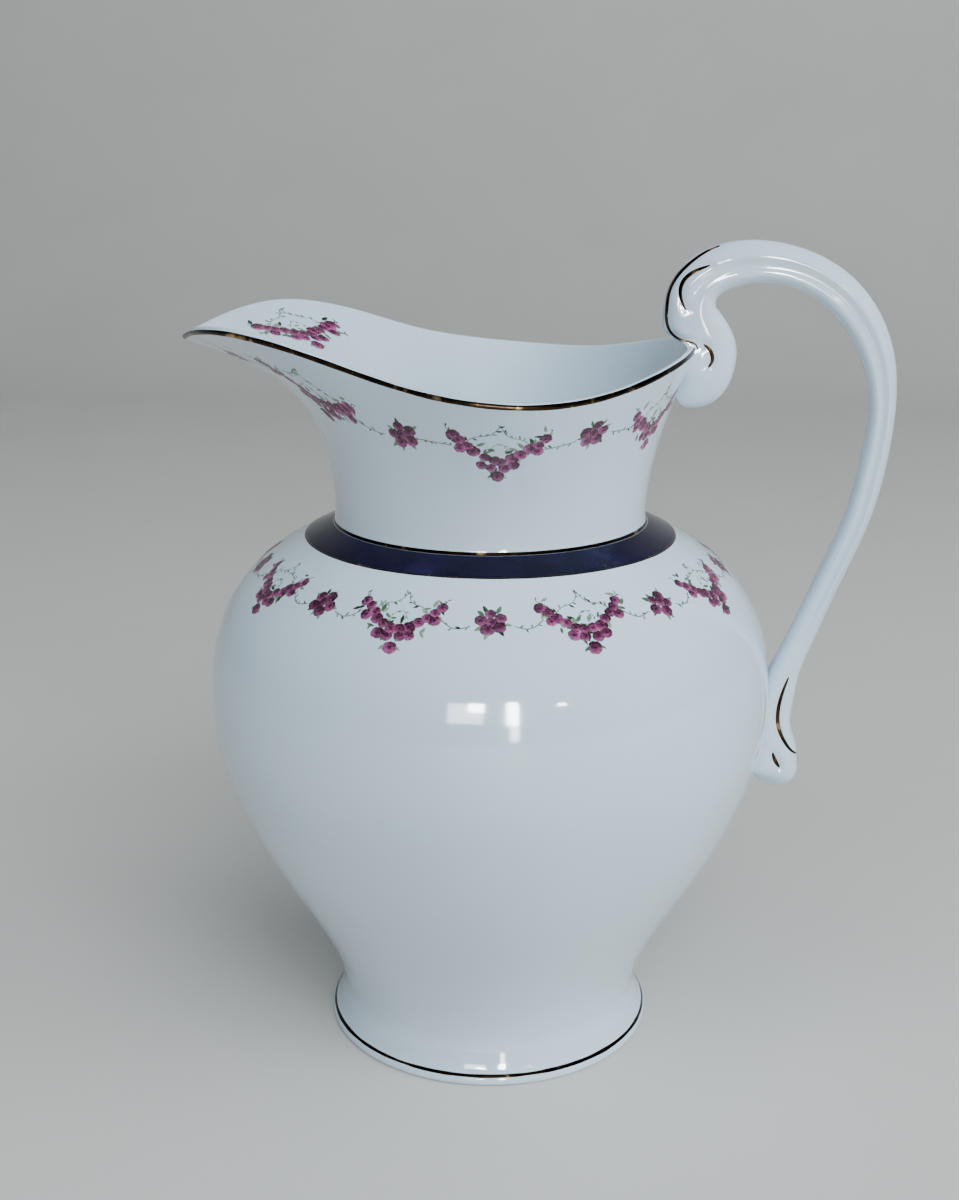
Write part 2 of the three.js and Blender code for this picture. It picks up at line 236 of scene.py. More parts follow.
def add_node(tree, kind, inputs=None, **settings):
    node = tree.nodes.new(kind)
    for key, value in settings.items():
        setattr(node, key, value)
    for key, value in (inputs or {}).items():
        if isinstance(value, bpy.types.NodeSocket):
            tree.links.new(value, node.inputs[key])
        else:
            node.inputs[key].default_value = value
    return node


def noise(tree, scale, detail=3.0, roughness=0.5, distortion=0.0):
    place = add_node(tree, "ShaderNodeTexCoord")
    return add_node(tree, "ShaderNodeTexNoise", {
        "Vector": place.outputs["Object"], "Scale": scale, "Detail": detail,
        "Roughness": roughness, "Distortion": distortion,
    })


def ramp(tree, value, stops):
    """A colour ramp through (position, colour) stops."""
    node = add_node(tree, "ShaderNodeValToRGB", {"Fac": value})
    elements = node.color_ramp.elements
    while len(elements) < len(stops):
        elements.new(0.5)
    for element, (position, colour) in zip(elements, stops):
        element.position = position
        element.color = (*colour, 1)
    return node.outputs["Color"]


def blend_colour(tree, fac, a, b, how="MIX"):
    node = add_node(tree, "ShaderNodeMix", data_type="RGBA", blend_type=how)
    for index, value in ((0, fac), (6, a), (7, b)):
        if isinstance(value, bpy.types.NodeSocket):
            tree.links.new(value, node.inputs[index])
        else:
            node.inputs[index].default_value = (*value, 1) if isinstance(value, tuple) else value
    return node.outputs[2]


def bump(tree, height, strength, distance):
    node = add_node(tree, "ShaderNodeBump", {
        "Height": height, "Strength": strength, "Distance": distance,
    })
    return node.outputs["Normal"]


def porcelain_material():
    """White body under a clear, slightly uneven bluish glaze with a few iron specks."""
    material, tree, shader = node_material("porcelain_glaze")
    cloud = noise(tree, 9.0, detail=2.0)
    body = ramp(tree, cloud.outputs["Fac"], [
        (0.30, (0.560, 0.695, 0.805)), (0.52, (0.60, 0.73, 0.84)), (0.75, (0.64, 0.765, 0.865)),
    ])
    place = add_node(tree, "ShaderNodeTexCoord")
    speck = add_node(tree, "ShaderNodeTexVoronoi", {
        "Vector": place.outputs["Object"], "Scale": 75.0, "Randomness": 1.0,
    })
    dot = ramp(tree, speck.outputs["Distance"], [(0.028, (1, 1, 1)), (0.06, (0, 0, 0))])
    chosen = ramp(tree, speck.outputs["Color"], [(0.93, (0, 0, 0)), (0.96, (1, 1, 1))])
    mask = blend_colour(tree, 1.0, dot, chosen, how="MULTIPLY")
    specked = blend_colour(tree, mask, body, (0.30, 0.27, 0.25))
    tree.links.new(specked, shader.inputs["Base Color"])
    sheen = noise(tree, 30.0, detail=4.0)
    gloss = ramp(tree, sheen.outputs["Fac"], [(0.3, (0.055,) * 3), (0.7, (0.10,) * 3)])
    tree.links.new(gloss, shader.inputs["Roughness"])
    ripple = noise(tree, 26.0, detail=1.5)
    tree.links.new(bump(tree, ripple.outputs["Fac"], 0.10, 0.002), shader.inputs["Normal"])
    shader.inputs["IOR"].default_value = 1.52
    shader.inputs["Coat Weight"].default_value = 0.35
    shader.inputs["Coat Roughness"].default_value = 0.04
    return material


def gold_material():
    """Burnished gold, thin, its base colour painted near-black as a painted reflection of dark
    surroundings with brighter flecks as painted glints, worn through to the glaze here and there.
    """
    material, tree, shader = node_material("gilding_worn_painted_reflection")
    tone = noise(tree, 160.0, detail=4.0)
    # Painted reflection: the near-black stops stand for gold mirroring a dark room, and the bright gold
    # stop gives painted glints; the wear mask below is real wear through to the glaze.
    colour = ramp(tree, tone.outputs["Fac"], [
        (0.36, (0.018, 0.011, 0.008)), (0.60, (0.050, 0.029, 0.014)), (0.76, (0.62, 0.42, 0.20)),
    ])
    wear = noise(tree, 420.0, detail=5.0, roughness=0.7)
    worn = ramp(tree, wear.outputs["Fac"], [(0.70, (0, 0, 0)), (0.76, (1, 1, 1))])
    tree.links.new(blend_colour(tree, worn, colour, (0.50, 0.47, 0.42)), shader.inputs["Base Color"])
    shine = ramp(tree, tone.outputs["Fac"], [(0.3, (0.16,) * 3), (0.8, (0.34,) * 3)])
    tree.links.new(shine, shader.inputs["Roughness"])
    solid = ramp(tree, worn, [(0.0, (1, 1, 1)), (1.0, (0.2, 0.2, 0.2))])
    tree.links.new(solid, shader.inputs["Metallic"])
    tree.links.new(bump(tree, wear.outputs["Fac"], 0.25, 0.0002), shader.inputs["Normal"])
    return material


def cobalt_material():
    """Deep cobalt ground, a little paler where the brush left it thin, under the same glaze."""
    material, tree, shader = node_material("cobalt_ground")
    streak = noise(tree, 55.0, detail=5.0, roughness=0.6, distortion=0.6)
    colour = ramp(tree, streak.outputs["Fac"], [
        (0.28, (0.003, 0.002, 0.010)), (0.55, (0.006, 0.004, 0.024)), (0.80, (0.013, 0.009, 0.050)),
    ])
    tree.links.new(colour, shader.inputs["Base Color"])
    gloss = ramp(tree, streak.outputs["Fac"], [(0.3, (0.10,) * 3), (0.8, (0.20,) * 3)])
    tree.links.new(gloss, shader.inputs["Roughness"])
    shader.inputs["IOR"].default_value = 1.5
    shader.inputs["Specular IOR Level"].default_value = 0.14
    return material


def enamel_material():
    """Fired print: each petal's own colour, broken up by the dots of the transfer."""
    material, tree, shader = node_material("rose_enamel")
    paint = add_node(tree, "ShaderNodeVertexColor", layer_name="paint")
    grain = noise(tree, 1500.0, detail=2.0)
    light = ramp(tree, grain.outputs["Fac"], [(0.35, (0.72, 0.70, 0.72)), (0.65, (1.0, 1.0, 1.0))])
    colour = blend_colour(tree, 1.0, paint.outputs["Color"], light, how="MULTIPLY")
    tree.links.new(colour, shader.inputs["Base Color"])
    shade = ramp(tree, grain.outputs["Fac"], [(0.3, (0.18,) * 3), (0.8, (0.34,) * 3)])
    tree.links.new(shade, shader.inputs["Roughness"])
    return material


PORCELAIN = porcelain_material()
GOLD = gold_material()
COBALT = cobalt_material()
ENAMEL = enamel_material()

# ---------------------------------------------------------------------- foot
FOOT_SWEEP = Spline([
    (FOOT_RADIUS, FOOT_EDGE),
    (FOOT_RADIUS - 1.9, 5.4),
    (WAIST_RADIUS + 1.2, 9.4),
    (WAIST_RADIUS + 0.1, 13.4),
    (WAIST_RADIUS, WAIST_HEIGHT),
])
BELLY = Spline([
    (WAIST_RADIUS - 0.05, WAIST_HEIGHT + JOINT),
    (58.9, 23.5),
    (62.4, 33),
    (70.3, 48),
    (81.2, 66),
    (92, 86),
    (99.9, 106),
    (103.9, 122),
    (BELLY_RADIUS, 136.5),
    (103.2, 153),
    (99, 166.5),
    (92.2, 177.5),
    (83.4, 186.2),
    (BAND_RADIUS + 7, 192),
    (BAND_RADIUS, BAND_HEIGHT),
    (COLLAR_RADIUS + 1, COLLAR_HEIGHT),
])


def arc(centre, radius, start, end, steps):
    """Points on a circle in a (radius, height) plane, angles in degrees."""
    angles = np.radians(np.linspace(start, end, steps))
    return np.stack([centre[0] + radius * np.cos(angles), centre[1] + radius * np.sin(angles)], -1)


def foot_piece():
    """The spreading foot: a base plate over a recess, a foot ring, and half of the joint above."""
    inside = WAIST_RADIUS - WALL
    middle, plate = 0.01, 20.0
    recess, floor, floor_bend = 4.0, 9.0, 4.0
    ring_inside = FOOT_RADIUS - 7.4
    recess_bend, ring_bend, edge_bend = 1.4, 0.8, 1.5
    recess_end = ring_inside - 4.4
    steps = 26
    profile = np.vstack([
        [(middle, recess)],
        [(plate, recess)],
        arc((recess_end, recess - recess_bend), recess_bend, 90, 10, 6),
        arc((ring_inside, ring_bend), ring_bend, 190, 270, 5),
        arc((FOOT_RADIUS - edge_bend, edge_bend), edge_bend, 270, 360, 8),
        FOOT_SWEEP.offset(np.linspace(0, 1, steps), np.zeros(steps)),
        [(WAIST_RADIUS, WAIST_HEIGHT + JOINT / 2)],
        [(inside, WAIST_HEIGHT + JOINT / 2)],
        arc((inside - floor_bend, floor + floor_bend), floor_bend, 0, -90, 8),
        [(plate, floor)],
        [(middle, floor)],
    ])
    return turned_piece("jug_foot", profile, PORCELAIN, ["foot"])


def belly_piece():
    """The hollow belly, from the waist to the opening that the collar stands round."""
    steps_outside, steps_inside, inside_end = 110, 70, 0.985
    outside = BELLY.offset(np.linspace(0, 1, steps_outside), np.zeros(steps_outside))
    outside[0] = WAIST_RADIUS, WAIST_HEIGHT + JOINT / 2
    inside = BELLY.offset(np.linspace(inside_end, 0, steps_inside), np.full(steps_inside, -WALL))
    inside[-1, 1] = outside[0, 1]
    profile = np.vstack([
        outside,
        [(COLLAR_RADIUS - WALL / 2, COLLAR_HEIGHT)],
        [(COLLAR_RADIUS - WALL, COLLAR_HEIGHT - 0.4)],
        inside,
    ])
    return turned_piece("jug_belly", profile, PORCELAIN, ["belly"])


# ---------------------------------------------------------------------- neck
# The rim from the handle round to the lip: degrees, radius, height.
RIM_STATIONS = [
    (0, 71.5, 264),
    (28, 73, 261.8),
    (60, 75.5, 254.8),
    (80, 78.8, 254),
    (100, 76.2, 256.6),
    (118, 75.5, 261.4),
    (135, 86, 269.2),
    (150, 99, 273.4),
    (160, 103.5, 272),
    (170, 106.5, 269.3),
    (180, LIP_REACH - LIP_WALL / 2, 266.4),
]


def rim_points():
    """The whole rim: its stations, then the same ones mirrored back to the handle."""
    right = [turned_to(math.radians(turn), (radius, height)) for turn, radius, height in RIM_STATIONS]
    left = [point * (1, -1, 1) for point in reversed(right[1:-1])]
    return np.array(right + left)


RIM = Spline(rim_points(), closed=True, lead=3)


class Neck:
    """The collar: a wall whose middle surface runs from its round foot to the rim."""
    base = COLLAR_HEIGHT

    def __init__(self):
        samples = RIM.point(np.linspace(0, 1, 4001)[:-1])
        turns = np.unwrap(np.arctan2(samples[:, 1], samples[:, 0]))
        self.turns = np.concatenate([turns - 2 * math.pi, turns, turns + 2 * math.pi])
        self.radii = np.tile(np.hypot(samples[:, 0], samples[:, 1]), 3)
        self.heights = np.tile(samples[:, 2], 3)

    def rim_at(self, angle):
        return np.interp(angle, self.turns, self.radii), np.interp(angle, self.turns, self.heights)

    def controls(self, angle):
        """The four control points of the wall's profile under each angle."""
        angle = (np.asarray(angle, float) + math.pi) % (2 * math.pi) - math.pi
        radius, height = self.rim_at(angle)
        lip = smoothstep(np.abs(angle), math.radians(105), math.pi)
        flare, rise = radius - COLLAR_RADIUS, height - self.base
        foot = np.full_like(radius, COLLAR_RADIUS - WALL / 2)
        return [
            np.stack([foot, np.full_like(radius, self.base)], -1),
            np.stack([foot, self.base + rise * (0.36 + 0.36 * lip)], -1),
            np.stack([COLLAR_RADIUS + flare * 0.4, self.base + rise * (0.65 + 0.19 * lip)], -1),
            np.stack([radius, height], -1),
        ]

    def flat(self, angle, t, side, lift=0.0):
        """(radius, height) on the outer (1) or inner (-1) face; t is 0 at the foot, 1 at the rim."""
        a, b, c, d = self.controls(angle)
        t = np.asarray(t, float)[..., None]
        point = a * (1 - t)**3 + 3 * b * t * (1 - t)**2 + 3 * c * t**2 * (1 - t) + d * t**3
        slope = (b - a) * (1 - t)**2 + 2 * (c - b) * t * (1 - t) + (d - c) * t**2
        slope = slope / np.linalg.norm(slope, axis=-1, keepdims=True)
        out = np.stack([slope[..., 1], -slope[..., 0]], -1)
        half_wall = (WALL + (LIP_WALL - WALL) * t) / 2
        return point + out * side * (half_wall + np.asarray(lift, float)[..., None]), slope, out

    def lip(self, angle, around, lift=0.0):
        """A point on the rounded lip; around is 90 on the outer face and -90 on the inner."""
        ones = np.ones_like(np.asarray(angle, float))
        point, slope, out = self.flat(angle, ones, 0)
        around = np.radians(np.asarray(around, float))[..., None]
        reach = LIP_WALL / 2 + np.asarray(lift, float)[..., None]
        return point + reach * (slope * np.cos(around) + out * np.sin(around))

    def t_at_drop(self, angle, drop):
        """Where the profile is a given length below the rim."""
        ts = np.linspace(1, 0, 60)
        angle, drop = np.broadcast_arrays(np.asarray(angle, float), np.asarray(drop, float))
        wide = np.broadcast_to(angle[..., None], angle.shape + ts.shape)
        line = self.flat(wide, np.broadcast_to(ts, wide.shape), 0)[0]
        steps = np.linalg.norm(np.diff(line, axis=-2), axis=-1)
        run = np.concatenate([np.zeros(angle.shape + (1,)), np.cumsum(steps, -1)], -1)
        k = np.clip((run < drop[..., None]).sum(-1) - 1, 0, len(ts) - 2)
        low = np.take_along_axis(run, k[..., None], -1)[..., 0]
        high = np.take_along_axis(run, k[..., None] + 1, -1)[..., 0]
        return ts[k] + (drop - low) / (high - low) * (ts[1] - ts[0])


NECK = Neck()


def fillet_at(t):
    """How far the slip swells out where the collar stands on the shoulder."""
    swell, fade, wall_run = 0.9, 1.1, 60
    return swell * np.exp(-np.asarray(t) * wall_run / fade)


def neck_piece():
    """The collar and lip: up the outer face, over the rounded lip and down the inner face."""
    count, fine_part = 360, 0.06
    samples = RIM.point(np.arange(count) / count)
    angles = np.arctan2(samples[:, 1], samples[:, 0])
    up = np.concatenate([np.linspace(0, fine_part, 16)[:-1], np.linspace(fine_part, 1, 44)])
    columns = []
    for t, swell in zip(up, fillet_at(up)):
        columns.append(NECK.flat(angles, np.full(count, t), 1, np.full(count, swell))[0])
    for around in np.linspace(75, -75, 9):
        columns.append(NECK.lip(angles, np.full(count, around)))
    for t in up[::-1]:
        columns.append(NECK.flat(angles, np.full(count, t), -1)[0])
    flat = np.stack(columns, 1)
    rings = turned_to(angles[:, None], flat)
    faces = facing_out(rings, grid_faces(*rings.shape[:2], True, True))
    piece = new_piece("jug_neck", rings, faces, PORCELAIN, ["neck"])
    sharpen(piece, 60)
    return piece


# -------------------------------------------------------------------- handle
# Its middle line from the scroll over the loop to the tongue: X, Z, thickness, width.
HANDLE = Spline([
    (67.4, 245.4, 6, 9),
    (71.2, 248.2, 14, 12.5),
    (74.2, 252, 20, 14.5),
    (75.2, 256.2, 23.4, 15.6),
    (74.8, 261, 26, 16),
    (72.6, 269.5, 23.5, 16),
    (70.6, 277.5, 19, 16),
    (72.6, 285.6, 17, 16),
    (80.8, 291.8, 16, 16),
    (92.5, 294.2, 14.9, 16),
    (106.5, 292.4, 13.8, 15.5),
    (120.1, 285.6, 13.8, 15),
    (131.9, 272.6, 13, 14.5),
    (138.1, 258.2, 11.1, 14),
    (140, 243.9, 9.4, 14),
    (138, 222, 9.4, 13.5),
    (134, 203.3, 9, 13),
    (125.4, 180.7, 9, 13),
    (115.7, 156.2, 9.4, 13),
    (111.3, 145.3, 10.4, 13.5),
    (108.4, 135, 12.8, 14.5),
    (107.3, 127, 13, 15.5),
    (107.2, 121.5, 14, 16.5),
    (107.6, 114, 18.2, 18),
    (107.3, 108.5, 19.8, 19),
    (107.1, 103.7, 18.6, 17.5),
    (106, 99.8, 8, 10),
])
# Gilt strokes on each side of the handle, as X, Z points, and their widths.
STROKES = {
    "curl": ([
        (80, 299.6), (75.4, 297.6), (71.7, 295.2), (68.0, 292.0), (64.9, 288.2), (63.0, 284.0),
        (62.4, 280.0), (62.2, 276.0), (62.6, 272.6), (64.2, 269.6), (67.1, 267.6), (70.4, 266.8),
        (72.6, 265.9), (73.6, 264.2),
    ], 1.2),
    "hook": ([(75.5, 265.9), (77.3, 264.5), (78.5, 262.4), (78.7, 260.2), (77.4, 257.9)], 1.4),
    "comma": ([
        (76.6, 293.2), (73.4, 292.0), (69.8, 290.0), (67.4, 287.2), (66.7, 284.4), (67.2, 281.2),
        (68.8, 277.9),
    ], 1.4),
    "long_stroke": ([
        (111.8, 143.1), (110.4, 139.0), (109.2, 134.6), (108.5, 129.4), (108.8, 124.4),
        (110.1, 120.6), (112.0, 117.2), (114.2, 114.4), (116.4, 112.4),
    ], 1.5),
    "short_stroke": ([(107.2, 113.7), (107.9, 111.6), (108.9, 109.7), (110.0, 108.0)], 1.5),
}
STROKE_LINES = {name: Spline(points) for name, (points, _) in STROKES.items()}


def distance_to(line, x, z):
    """Distance in the XZ plane from points to a stroke's line."""
    samples = line.point(np.linspace(0, 1, 60))
    return np.sqrt((x[..., None] - samples[:, 0])**2 + (z[..., None] - samples[:, 1])**2).min(-1)


def handle_section(share, angle):
    """Points on the handle: share runs along it, angle round its section. The long strap has a
    bevelled back and a flute along each flank, and each gilt stroke lies in a shallow groove."""
    squareness = 2 / 3
    ridge, bevel_depth, bevel_ease = 0.34, 0.26, 0.006
    flute_depth, flute_place, flute_width = 0.15, -0.12, 0.27
    groove_depth, groove_width = 0.09, 1.4
    middle, along = HANDLE.point(share), HANDLE.along(share)
    out = np.stack([-along[..., 1], along[..., 0]], -1)
    across = np.sign(np.cos(angle)) * np.abs(np.cos(angle))**squareness
    beside = np.sign(np.sin(angle)) * np.abs(np.sin(angle))**squareness
    strap = smoothstep(share, 0.10, 0.22) * (1 - smoothstep(share, 0.74, 0.86))
    past_ridge = (across - ridge) / (1 - ridge)
    bevel = 1 - bevel_depth * strap * (past_ridge + np.sqrt(past_ridge**2 + bevel_ease))
    flute = 1 - flute_depth * strap * np.exp(-((across - flute_place) / flute_width)**2)
    x = middle[..., 0] + out[..., 0] * across * middle[..., 2] / 2
    z = middle[..., 1] + out[..., 1] * across * middle[..., 2] / 2
    y = beside * bevel * flute * middle[..., 3] / 2
    for line in STROKE_LINES.values():
        groove = np.exp(-(distance_to(line, x, z) / groove_width)**2)
        y = y * (1 - groove_depth * groove)
    return x, y, z


def seat_in_wall(x, y, z, depth):
    """Pulls points that lie deep inside the jug out to a depth within its wall. Above the rim the
    handle blends from the lip's edge back to its own shape."""
    below_rim, above_rim = 1.0, 7.0
    radius, angle = np.hypot(x, y), np.arctan2(y, x)
    belly = BELLY.offset(np.linspace(0, 1, 800), np.zeros(800))
    shell = np.interp(z, belly[:, 1], belly[:, 0]) - depth
    on_belly = z < COLLAR_HEIGHT
    ts = np.linspace(0, 1, 80)
    wide = np.broadcast_to(angle[..., None], angle.shape + ts.shape)
    profile = NECK.flat(wide, np.broadcast_to(ts, wide.shape), 1)[0]
    k = np.clip((profile[..., 1] < z[..., None]).sum(-1) - 1, 0, len(ts) - 2)[..., None]
    low = np.take_along_axis(profile, k[..., None], -2)[..., 0, :]
    high = np.take_along_axis(profile, k[..., None] + 1, -2)[..., 0, :]
    fraction = np.clip((z - low[..., 1]) / (high[..., 1] - low[..., 1]), 0, 1)
    collar = low[..., 0] + (high[..., 0] - low[..., 0]) * fraction - depth
    rim_radius, rim_height = NECK.rim_at(angle)
    over = smoothstep(z, rim_height - below_rim, rim_height + above_rim)
    above = (rim_radius - depth) * (1 - over) + radius * over
    collar = np.where(z < rim_height - below_rim, collar, np.minimum(above, rim_radius))
    shell = np.where(on_belly, shell, np.where(z < rim_height + above_rim, collar, 0))
    out = np.maximum(radius, shell) / np.maximum(radius, 1e-6)
    return x * out, y * out, z


def handle_piece():
    steps, corners = 460, 72
    share = np.linspace(0, 1, steps)[:, None]
    angle = (np.arange(corners) / corners * 2 * math.pi)[None, :]
    share, angle = np.broadcast_arrays(share, angle)
    x, y, z = seat_in_wall(*handle_section(share, angle), depth=1.0)
    rings = np.stack([x, y, z], -1)
    return strip_piece("jug_handle", rings, PORCELAIN, ["handle"])


# ------------------------------------------------------- lines on the turning
def strip_section(count=9):
    """Across a line from -1 to 1 and its height from 0 to 1, then back under it."""
    across = np.linspace(-1, 1, count)
    height = np.sqrt(np.clip(1 - across**2, 0, 1))
    under = across[-2:0:-1]
    return np.concatenate([across, under]), np.concatenate([height, np.full(len(under), -0.5)])


def unevenness(seed, travel, size, waves):
    """How a brushed line's width wanders along it, as a sum of long and short waves."""
    rng = np.random.default_rng(seed)
    return sum(rng.normal(0, size) * np.sin(k * travel + rng.uniform(0, 6.3)) for k in waves)


def gold_ring(name, curve, share, width, replaced, seed):
    """A gold line round the jug on a turned surface."""
    across, height = strip_section()
    turns = np.arange(AROUND * 2) / (AROUND * 2) * 2 * math.pi
    rings = []
    for turn, wave in zip(turns, unevenness(seed, turns, 0.05, (3, 7, 16, 31, 60))):
        shares = share + across * (1 + wave) * width / 2 / curve.length
        rings.append(turned_to(turn, curve.offset(shares, height * GILT_LIFT)))
    rings = np.array(rings)
    faces = facing_out(rings, grid_faces(*rings.shape[:2], True, True))
    return new_piece(name, rings, faces, GOLD, [replaced])


def strip_piece(name, rings, material, replaced):
    """A closed strip from its sections in order, with its two ends shut."""
    count, section = rings.shape[:2]
    points = np.vstack([rings.reshape(-1, 3), rings[0].mean(0), rings[-1].mean(0)])
    faces = grid_faces(count, section, False, True)
    first, last = count * section, count * section + 1
    for j in range(section):
        k = (j + 1) % section
        faces.append((first, k, j))
        faces.append((last, (count - 1) * section + j, (count - 1) * section + k))
    faces = facing_out(points, faces)
    return new_piece(name, points, faces, material, replaced)


BAND_START = BELLY.share_at(1, BAND_HEIGHT)


def cobalt_band():
    """The cobalt from the band's gold line up to the collar, thinning out at its lower edge."""
    band_end, edge = 0.9995, 0.004
    shares = np.linspace(BAND_START, band_end, 30)
    lift = COBALT_LIFT * smoothstep(shares, BAND_START, BAND_START + edge)
    top = BELLY.offset(shares, lift)
    under = BELLY.offset(shares[-2::-1], np.full(len(shares) - 1, -COBALT_LIFT))
    profile = np.vstack([top, under])
    return turned_piece("cobalt_ground_band", profile, COBALT, ["cobalt_band"], crisp=80)


def rim_gilding():
    """Gold over the outer edge of the lip, stopping at the handle on each side."""
    share_clear = 0.017
    count = 700
    centre, half = 46.0, 36.0
    samples = RIM.point(np.linspace(share_clear, 1 - share_clear, count))
    angles = np.arctan2(samples[:, 1], samples[:, 0])
    waves = unevenness(11, np.linspace(0, 1, count), 0.06, (9, 23, 47, 90, 170))
    across, height = strip_section(11)
    columns = []
    for a, h in zip(across, height):
        around = centre + a * half * (1 + waves)
        columns.append(NECK.lip(angles, around, np.full(count, h * GILT_LIFT)))
    rings = turned_to(angles[:, None], np.stack(columns, 1))
    return strip_piece("rim_gold_line", rings, GOLD, ["rim_gilding"])


def t_above_foot(angle, rise):
    """The place on the collar's wall a small height above its foot."""
    steep = 3 * (NECK.controls(angle)[1] - NECK.controls(angle)[0])[..., 1]
    return rise / steep


def collar_gilding():
    """The line round the foot of the collar, from the cobalt up over the joint."""
    middle, half, clear = 0.42, 0.74, 0.03
    across, height = strip_section()
    turns = np.arange(AROUND * 2) / (AROUND * 2) * 2 * math.pi
    columns = []
    for a, h in zip(across, height):
        t = t_above_foot(turns, middle + a * half)
        columns.append(NECK.flat(turns, t, 1, fillet_at(t) + h * GILT_LIFT + clear)[0])
    rings = turned_to(turns[:, None], np.stack(columns, 1))
    faces = facing_out(rings, grid_faces(*rings.shape[:2], True, True))
    return new_piece("collar_gold_line", rings, faces, GOLD, ["collar_gilding"])


# ------------------------------------------------- gilt strokes on the handle
def laid_on(surface, points, way, lift):
    """Points dropped along a direction onto a surface and raised off it by their lifts."""
    laid = []
    for point, rise in zip(np.reshape(points, (-1, 3)), np.ravel(lift)):
        hit, normal, _, _ = surface.ray_cast(Vector(point), Vector(way))
        if hit is None:
            hit, normal, _, _ = surface.find_nearest(Vector(point))
        laid.append(hit + normal * float(rise))
    return np.array(laid).reshape(np.shape(points))


def surface_of(piece):
    """A lookup of a piece's surface in millimetres about the jug's axis."""
    to_jug = Matrix.Translation((-AXIS_X, 0, 0)) @ Matrix.Scale(1 / MM, 4) @ piece.matrix_world
    corners = [to_jug @ vertex.co for vertex in piece.data.vertices]
    piece.data.calc_loop_triangles()
    triangles = [tuple(triangle.vertices) for triangle in piece.data.loop_triangles]
    return BVHTree.FromPolygons(corners, triangles)


def brush_stroke(handle, name, side, node):
    """A tapered stroke of gold laid on one side of the handle, from well outside it."""
    outside_y, thickness = 30.0, 1.5 * GILT_LIFT
    _, width = STROKES[name]
    line = STROKE_LINES[name]
    count = max(40, int(line.length * 3))
    travel = np.linspace(0, 1, count)
    middle, along = line.point(travel), line.along(travel)
    normal = np.stack([-along[:, 1], along[:, 0]], -1)
    body = np.sin(np.pi * np.clip(travel * 0.92 + 0.04, 0, 1))**0.5
    across, height = strip_section(7)
    x = middle[:, :1] + normal[:, :1] * across * (width / 2 * body)[:, None]
    z = middle[:, 1:2] + normal[:, 1:2] * across * (width / 2 * body)[:, None]
    outside = np.stack([x, np.full_like(x, outside_y * side), z], -1)
    lift = np.broadcast_to(height * thickness, x.shape)
    rings = laid_on(handle, outside, (0, -side, 0), lift)
    return strip_piece(f"gold_{node}", rings, GOLD, [node])


# ------------------------------------------------------------------ garlands
def srgb(red, green, blue):
    value = np.array([red, green, blue]) / 255
    return np.where(value <= 0.04045, value / 12.92, ((value + 0.055) / 1.055)**2.4)


PETAL_TIERS = [
    # petals, distance out, size, colour on the light side, colour on the shaded side
    (7, 0.64, 0.44, srgb(204, 112, 166), srgb(64, 4, 38)),
    (5, 0.36, 0.40, srgb(188, 86, 148), srgb(98, 12, 64)),
    (3, 0.16, 0.30, srgb(142, 34, 100), srgb(74, 10, 66)),
]
ROSE_CORE = srgb(66, 10, 66)
LEAF_TONES = [srgb(132, 160, 130), srgb(86, 120, 86), srgb(40, 66, 46), srgb(146, 172, 148)]
STEM_TONE = srgb(120, 140, 116)
PRINT_LIFT = 0.02
PRINT_THICKNESS = 0.03


